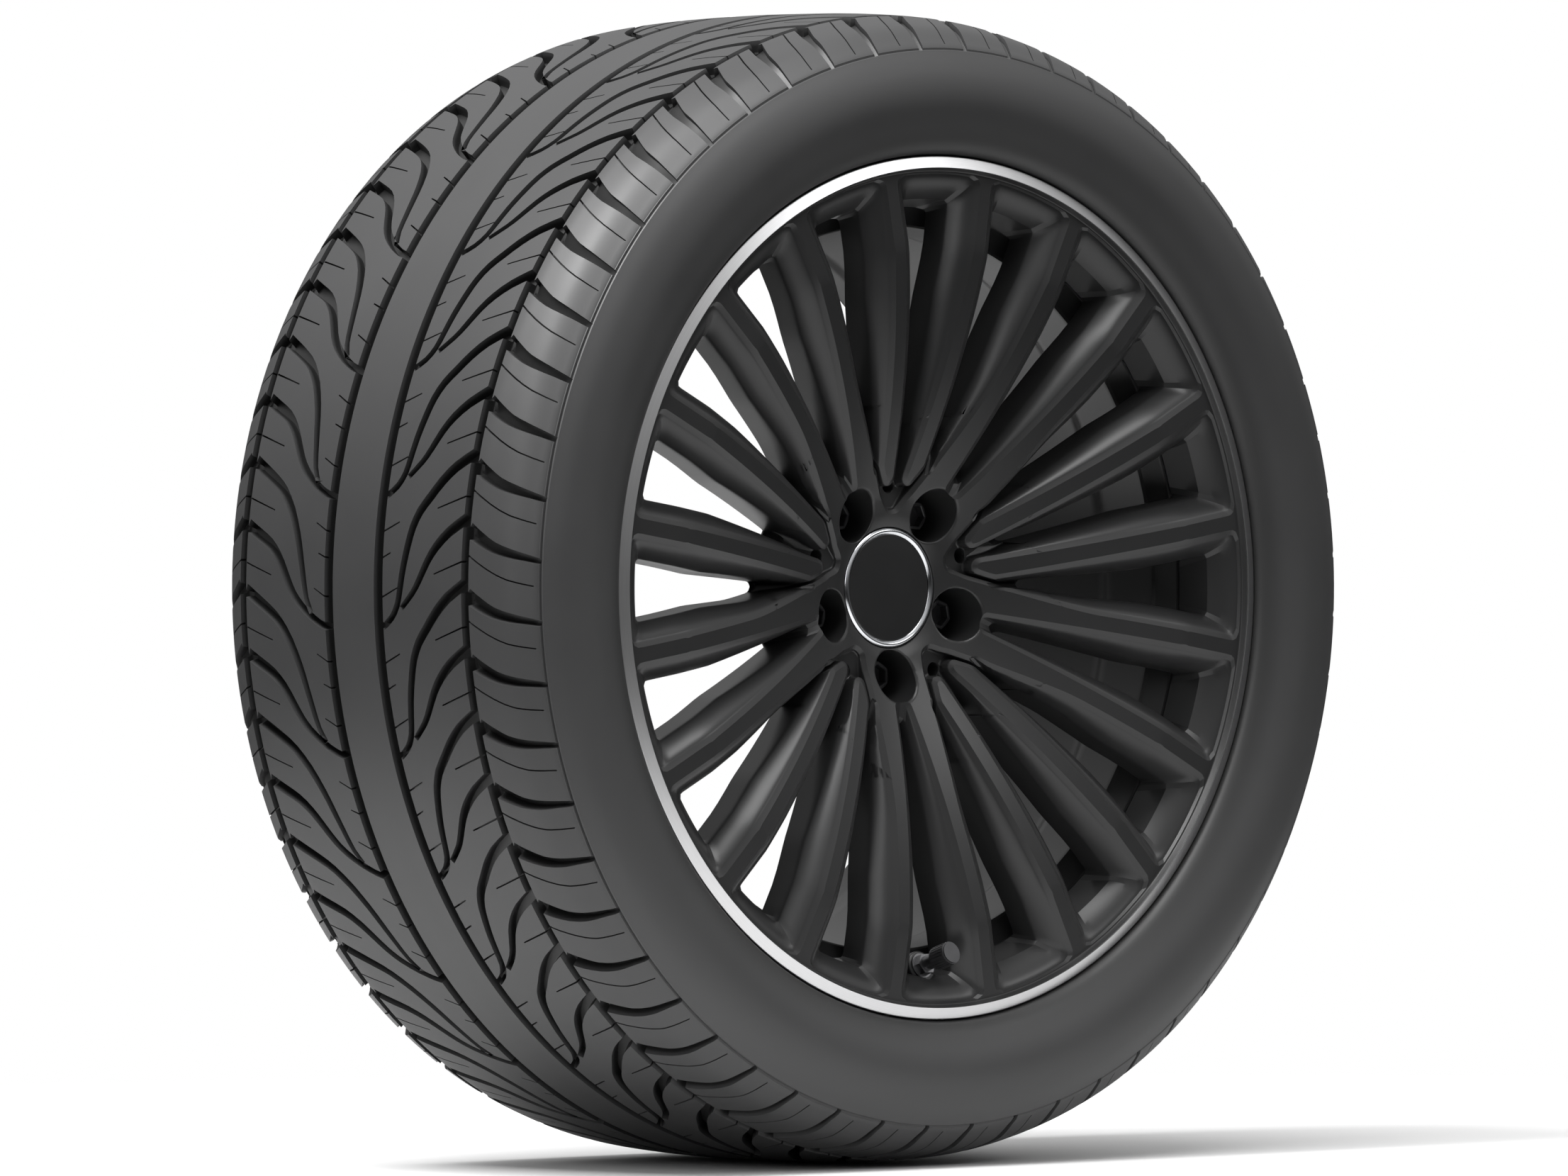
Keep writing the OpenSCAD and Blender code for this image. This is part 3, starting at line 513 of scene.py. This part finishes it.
# Tyre: one moulding of black rubber that its beads seal on the rim. Its mould leaves four ring
# grooves, and 56 pitches of swept grooves, shoulder slots and thin sipes. A path across the tread
# runs as (way round in mm, place across in mm).
CROWN, TREAD_START, PITCHES, TYRE_STEPS = 364.2, 4.3, 56, 264
SHOULDER, WALL_TOP = (340.8, 144.6), (337.4, 147.6)
foot = 271.9
wall = curve_through([(foot, 140.45), (foot + 3, 146.85), (foot + 12, 152), (foot + 32, 157),
                      (324, 154.6), WALL_TOP], 6)
ledge = [(338.0, 146.4), (339.0, 146.3), (339.3, 145.6)]
tread = curve_through([(342.7, 142.5), (352.2, 131), (357.7, 116), (360.8, 99), (363.3, 57),
                       (CROWN, 0)], 6)
bead = softened([(253.2, 117.35, 1), (254.2, 128.15, 2), (255.4, 131.55, 1), (258.5, 133.15, 1),
                 (268.3, 133.15, 1.5), (foot, 133.95, 0.5)])
inside = curve_through([(349.2, 0), (347.2, 98), (339.2, 125), (332.2, 138), (305.9, 148),
                        (289.9, 145), (276.9, 131.35), (260, 119.35)], 2)
outer_half = [tuple(q) for q in bead] + wall + ledge + [SHOULDER] + tread
inboard = [(r, -z) for r, z in outer_half[::-1]]
inside_inboard = [(r, -z) for r, z in inside[::-1]]
tyre = lathe("tyre_looks", outer_half + inboard[1:] + inside_inboard + inside[1:], TYRE_STEPS)


def tread_radius(z):
    edge = {SHOULDER[::-1], WALL_TOP[::-1]}
    line = sorted({(round(q[1], 4), q[0]) for q in tread} | edge)
    heights, radii = np.array(line).T
    return np.interp(np.abs(z), heights, radii)


def strip(path, widths, depths, shift=0, draft=0.6, lift=0.0):
    """A groove's solid along a path: its width and depth run from the first to the second value,
    and one side of its floor may be lifted."""
    p = np.asarray(path, float) - (TREAD_START, 0)
    n = len(p)
    d = np.gradient(p, axis=0)
    side = np.stack([-d[:, 1], d[:, 0]], 1) / np.linalg.norm(d, axis=1)[:, None]
    t = np.linspace(0, 1, n)
    half_width = mixed(widths[0], widths[1], t)[:, None] / 2
    base = tread_radius(p[:, 1])
    floor, top = base - mixed(depths[0], depths[1], t), base + 4
    corners = []
    for sign, r, extra in ((1, floor + (base - floor) * lift, -draft), (1, top, draft * 0.6),
                           (-1, top, draft * 0.6), (-1, floor, -draft)):
        q = p + side * (half_width + extra) * sign
        a = (q[:, 0] + shift) / CROWN
        corners.append(np.stack([r * np.cos(a), r * np.sin(a), q[:, 1]], 1))
    rings = [np.array([corner[i] for corner in corners]) for i in range(n)]
    return rings, [(0, 1, 2, 3), tuple((n - 1) * 4 + i for i in range(4))]


def smooth_path(points, pieces=2):
    return np.array(curve_through(points, pieces))


pitch = 2 * math.pi * CROWN / PITCHES
outer_long = [(0, 100), (8, 86.4), (17, 76), (27, 67), (36, 59), (46, 53.5), (57, 50), (71, 46.3),
              (84, 43.6), (94, 41), (102, 35.5), (108, 27)]
outer_short = [(0, 100), (8, 86.4), (17, 75.8), (26, 68.4), (38, 61), (46, 55), (55.5, 44.5)]
inner_long = [(3, -109), (9, -96), (15, -84), (23, -75), (32, -68.5), (43, -61.5), (51, -54.5),
              (59, -44), (65, -33), (67, -27)]
inner_short = [(3, -109), (9, -97), (16, -84), (23, -74), (35, -64), (50, -56.5), (63, -52.4),
               (77, -49), (90, -46), (99, -41.5)]
outer_slot = [(6.5, 103), (12.5, 112.5), (17.5, 121.5), (21, 132), (23, 139), (25.4, 146.6)]
inner_slot = [(0, -116), (6, -124), (12, -134), (17, -142), (19.4, -146.6)]
for z, width in ((-113.2, 7.5), (-24.2, 7.7), (23.2, 7.7), (101.2, 5.6)):
    r = float(tread_radius(z))
    combine(tyre, lathe("ring_groove", [
        (r - 7.8, z - width / 2 + 0.9), (r - 7.8, z + width / 2 - 0.9),
        (r - 7, z + width / 2 - 0.5), (r + 4, z + width / 2 + 0.7), (r + 4, z - width / 2 - 0.7),
        (r - 7, z - width / 2 + 0.5)], TYRE_STEPS))
for paths in (((outer_long, (7.5, 4.4)), (outer_short, (7.5, 3.8))),
              ((inner_short, (8.5, 4)), (inner_long, (8.5, 4.6)))):
    grooves = []
    for k in range(PITCHES):
        path, widths = paths[k % 2]
        grooves.append(strip(smooth_path(path), widths, (7.3, 7.0), k * pitch))
    combine(tyre, loft("grooves", grooves))
slots = []
for k in range(PITCHES):
    slots.append(strip(smooth_path(outer_slot), (10, 4.2), (8, 4), k * pitch, 0.6, 0.4))
    slots.append(strip(smooth_path(inner_slot), (9, 4.2), (8, 4), k * pitch, 0.6, 0.4))
combine(tyre, loft("slots", slots))
sipe_lines = [
    [(22.5, 103.5), (31.2, 117.3), (37.8, 130.7), (41.8, 143.8)], [(25.3, 102), (34.3, 74.1)],
    [(7.6, 27), (1.9, 40.9)], [(24, 27), (21, 34.1)], [(7.6, -27.6), (2.2, -38.4)],
    [(24, -27.6), (21.2, -34.9)], [(26.7, -108.7), (34.7, -81.8)],
    [(22.3, -112), (31.6, -131), (36.5, -143.8)]]
sipes = []
for k in range(PITCHES):
    for line in sipe_lines:
        sipes.append(strip(smooth_path(line), (1.2, 0.9), (4, 3), k * pitch, 0.0))
combine(tyre, loft("sipes", sipes))
for side in (1, -1):
    combine(tyre, lathe("shoulder_line", [(338.2, side * 148.6), (340.6, side * 148.2),
                                          (340.6, side * 145.9), (337.6, side * 146.1)],
                        TYRE_STEPS))
smooth(tyre, 24)
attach(tyre, "wheel")
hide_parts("tyre")

# Painted shade: the rubber's colour is darkened towards the bead and deep in the grooves, where
# shade falls. The grooves' depth is measured from the tread's own curve, which bows down from the
# crown and drops at the shoulders.
rubber = Finish("tyre rubber")
radius, across = rubber.radius(), rubber.along("Y")
# Painted shade: the rubber goes darker towards the bead, next to the rim.
foot_shade = radius.above(0.271, 0.292)
TREAD_BOW, EDGE_BOW = 0.277, 93500.0
depth = CROWN / 1000 - radius - across ** 2.0 * TREAD_BOW - across ** 8.0 * EDGE_BOW
# Painted shade: the colour goes near black deep in the grooves and sipes.
groove = depth.above(0.0006, 0.0040) * radius.above(0.3375, 0.3392)
mottle, grain = rubber.noise(14, 5), rubber.noise(1400, 3)
rubber.feed(
    Base_Color=groove.colours(foot_shade.colours((0.010, 0.010, 0.010), mottle.colours(
        (0.024, 0.024, 0.0245), (0.031, 0.031, 0.0315))), (0.004, 0.004, 0.004)),
    Roughness=mottle.between(0.44, 0.54),
    Normal=rubber.bump(grain, 0.25, 0.00008))
paint(tyre, rubber)


# Centre cap: a satin black moulding that its fingers clip into the bore. A polished bright ring
# is pressed on it, and a smooth dark disc, gently domed, is glued inside the ring.
CAP_RING_IN, CAP_TOP, CAP_SEAT = 33.6, 93.85, 89.25
ring = lathe("cap_ring_looks", softened([
    (38, CAP_SEAT + 1.4, 0), (38, CAP_TOP - 1.4, 0.7), (36.6, CAP_TOP, 1), (35.2, CAP_TOP, 1),
    (CAP_RING_IN, CAP_TOP - 1.2, 0.4), (CAP_RING_IN, CAP_SEAT + 1.4, 0)], 5), 180)
smooth(ring, 40)
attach(ring, "wheel")
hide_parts("cap_ring")
paint(ring, Finish("cap chrome", Metallic=1.0).grained(
    (0.50, 0.51, 0.53), (0.62, 0.63, 0.65), (0.10, 0.16), 25, 900, 0.00001))
disc = lathe("cap_disc_looks", softened([
    (0.02, CAP_SEAT + 2.4, 0), (33.4, CAP_SEAT + 2.4, 0), (33.4, CAP_TOP - 1.5, 0.3),
    (24, CAP_TOP - 1.15, 4), (0.02, CAP_TOP - 1, 0)], 4), 96)
smooth(disc, 30)
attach(disc, "wheel")
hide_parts("cap_disc")
paint(disc, Finish("cap face", Coat_Weight=0.15, Coat_Roughness=0.2).grained(
    (0.007, 0.007, 0.0072), (0.010, 0.010, 0.0102), (0.3, 0.36)))


def dress(finish, *nodes):
    for node in nodes:
        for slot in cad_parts[node].material_slots:
            slot.material = finish.material


dress(Finish("cap plastic").grained((0.012, 0.012, 0.012), (0.018, 0.018, 0.018), (0.42, 0.5)),
      "cap_body")


# Wheel bolts: five forged steel bolts with a black coating. Each has a chamfered hexagon with a
# hexagonal recess, a round collar, a ball seat that matches its well, and a rolled thread.
bolt_steel = Finish("bolt black", Metallic=0.55).grained(
    (0.022, 0.022, 0.023), (0.05, 0.05, 0.052), (0.3, 0.42), 160, 3000)
HEAD, HEAD_TOP, TIP, THREAD_TOP, COLLAR, FLATS = 70.0, 82.0, 17.0, 44.5, 11.2, 17
THREAD_ROOT, THREAD_CREST, HALF_LEAD, SEAT_PLAY = 6.15, 6.95, 0.75, 0.15


def hexagon(flats, z):
    corner = flats / 2 / math.cos(math.radians(30))
    return [(corner * math.cos(a), corner * math.sin(a), z) for a in np.radians(range(0, 360, 60))]


def prism(name, place, *sides):
    last = len(sides) * 6 - 6
    return loft(name, [([place(hexagon(*side)) for side in sides],
                        [tuple(range(6)), tuple(range(last, last + 6))])])


def bolt_place(which):
    def place(points):
        return turned(np.asarray(points, float) + (BOLT_RING, 0, 0), BOLT_TURN + FIFTH * which)
    return place


thread = [(THREAD_ROOT if i % 2 else THREAD_CREST, TIP + 1.6 + HALF_LEAD * i) for i in range(34)]
seat = [(r, SEAT_HEIGHT + seat_rise - math.sqrt((BALL - SEAT_PLAY) ** 2 - r * r))
        for r in np.linspace(8, COLLAR, 5)]
shank = [(0.02, TIP), (5, TIP)] + thread + [(6.5, THREAD_TOP), (6.5, 62.5)] + seat + [
    (COLLAR, HEAD - 0.3), (COLLAR - 0.3, HEAD), (0.02, HEAD)]
chamfer = [(0.02, HEAD - 2), (12, HEAD - 2), (12, HEAD_TOP - 2.2), (8.1, HEAD_TOP + 0.05),
           (0.02, HEAD_TOP + 0.05)]
for k in range(5):
    at_well = bolt_place(k)
    bolt = lathe(f"wheel_bolt_{k + 1}_looks", shank, 40, at_well)
    head = prism("head", at_well, (FLATS, HEAD - 0.5), (FLATS, HEAD_TOP))
    combine(head, lathe("chamfer", chamfer, 48, at_well), "INTERSECT")
    combine(head, prism("recess", at_well, (13, HEAD_TOP - 6), (13, HEAD_TOP - 0.6),
                        (14.4, HEAD_TOP + 0.3)))
    combine(bolt, head, "UNION")
    smooth(bolt, 32)
    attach(bolt, "wheel")
    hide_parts(f"wheel_bolt_{k + 1}")
    paint(bolt, bolt_steel)

# Valve: a turned metal stem that its nut and washer clamp in the rim on a rubber grommet, a
# darker knurled cap on its thread, and a brass core screwed into it. The core's spring is a coil
# of thin wire between two seats.
dress(Finish("valve metal", Metallic=1.0).grained(
    (0.12, 0.12, 0.123), (0.18, 0.18, 0.184), (0.3, 0.4), 120), "valve_stem", "valve_nut",
    "valve_washer")
dress(Finish("valve cap metal", Metallic=0.9).grained(
    (0.055, 0.055, 0.057), (0.085, 0.085, 0.088), (0.36, 0.46), 150), "valve_cap")
dress(Finish("seal rubber").grained(
    (0.010, 0.010, 0.010), (0.018, 0.018, 0.018), (0.6, 0.72), 200), "valve_grommet",
    "valve_cap_seal", "valve_core_gasket")
dress(Finish("core brass", Metallic=1.0).grained(
    (0.52, 0.37, 0.14), (0.66, 0.49, 0.21), (0.24, 0.34), 300), "valve_core_body",
    "valve_core_pin")
steel = Finish("spring steel", Metallic=1.0).grained(
    (0.34, 0.34, 0.35), (0.46, 0.46, 0.47), (0.26, 0.36), 300)
dress(steel, "cap_spring_wire", "sensor_screw")
COIL_R, WIRE_R, COIL_FOOT, COIL_TOP, TURNS, TURN_STEPS = 1.5, 0.28, 7.95, 12.85, 6, 20
wire_rings = []
for i in range(TURNS * TURN_STEPS + 1):
    a = i * 2 * math.pi / TURN_STEPS
    z = mixed(COIL_FOOT, COIL_TOP, i / (TURNS * TURN_STEPS))
    reach = [(COIL_R + WIRE_R * math.cos(b), z + WIRE_R * math.sin(b))
             for b in np.radians(range(0, 360, 45))]
    wire_rings.append(on_valve([(r * math.cos(a), r * math.sin(a), z) for r, z in reach]))
last = len(wire_rings) * 8 - 8
coil = loft("core_spring_coil", [(wire_rings, [tuple(range(8)), tuple(range(last, last + 8))])])
smooth(coil, 60)
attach(coil, "wheel")
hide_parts("valve_core_spring")
paint(coil, steel)

# Pressure sensor: a moulded plastic box with a fine spark-eroded grain, which a small screw
# holds to the foot of the stem inside the tyre.
dress(Finish("sensor plastic").grained(
    (0.013, 0.013, 0.014), (0.021, 0.021, 0.022), (0.5, 0.6), 60, 1600, 0.00006), "sensor_housing")

# Camera: a long lens nine metres away. Its place and its turn were found from the lip, the bolts
# and the spokes in the photograph.
AWAY, SHIFT_RIGHT, SHIFT_UP, LENS = 9.0, -0.101205, -0.000152, 328.98
turn, lift, roll = math.radians(-42.005), math.radians(0.269), math.radians(-0.286)
right = np.array([math.cos(turn), math.sin(turn), 0])
backward = np.array([math.sin(turn) * math.cos(lift), -math.cos(turn) * math.cos(lift),
                     math.sin(lift)])
upward = np.cross(backward, right)
c, s = math.cos(roll), math.sin(roll)
axes = np.array([[c, s, 0], [-s, c, 0], [0, 0, 1]]) @ np.array([right, upward, backward])
place = np.array([0, -LIP / 1000, 0]) + axes.T @ np.array([SHIFT_RIGHT, SHIFT_UP, AWAY])
camera = bpy.data.objects.new("camera", bpy.data.cameras.new("camera"))
bpy.context.scene.collection.objects.link(camera)
camera.matrix_world = Matrix([[*axes[:, i], place[i]] for i in range(3)] + [[0, 0, 0, 1]])
camera.data.lens = LENS
camera.data.clip_end = 60
bpy.context.scene.camera = camera

# Light: a wide soft panel overhead, a strong one over the tread, and two weak ones from the left
# and the front. The surround is a soft grey sky that the camera sees as white.
bpy.context.scene.view_settings.view_transform = "Standard"


def panel(name, place, aim, width, height, power):
    light = bpy.data.lights.new(name, "AREA")
    light.shape, light.size, light.size_y, light.energy = "RECTANGLE", width, height, power
    lamp = bpy.data.objects.new(name, light)
    bpy.context.scene.collection.objects.link(lamp)
    lamp.location = place
    lamp.rotation_mode = "QUATERNION"
    lamp.rotation_quaternion = (Vector(aim) - Vector(place)).to_track_quat("-Z", "Y")


panel("overhead", (-0.5, -0.7, 2.4), (0, 0, 0.1), 2.2, 1.0, 60)
panel("tread", (-1.7, 0.1, 2.5), (0, 0, 0.1), 1.3, 1.3, 125)
panel("left", (-2.6, -1.2, 1.1), (0, 0, 0), 0.6, 1.6, 12)
panel("front", (2.2, -3.0, 2.0), (0, 0, 0), 1.6, 1.0, 22)
world = bpy.data.worlds.new("surround")
bpy.context.scene.world = world
world.use_nodes = True
surround = Recipe(world.node_tree)
sky = surround.along("Z", "Generated").spread(-0.15, 0.8, 0.02, 0.85)
lit = surround.node("ShaderNodeBackground", 0, {"Color": sky})
white = surround.node("ShaderNodeBackground", 0, {"Color": (1, 1, 1, 1)})
to_camera = surround.node("ShaderNodeLightPath", "Is Camera Ray")
either = surround.node("ShaderNodeMixShader", 0, (to_camera, lit, white))
world.node_tree.links.new(either.socket, world.node_tree.nodes["World Output"].inputs["Surface"])

# Floor: a pale round sheet just under the tyre, which catches its shadow. It fades out into the
# white that surrounds it.
FLOOR_R, FLOOR_GAP = 1600, 0.2
rim_points = [(FLOOR_R * math.cos(a), -CROWN - FLOOR_GAP, FLOOR_R * math.sin(a))
              for a in np.radians(range(0, 360, 5))]
floor = solid("floor", rim_points, [tuple(range(len(rim_points)))])
ground = Finish("floor", Roughness=0.8)
tone = ground.noise(3, 2)
ground.feed(Base_Color=tone.colours((0.74, 0.74, 0.74), (0.78, 0.78, 0.78)),
            Alpha=ground.radius("Y").above(1.5, 0.5))
paint(floor, ground)
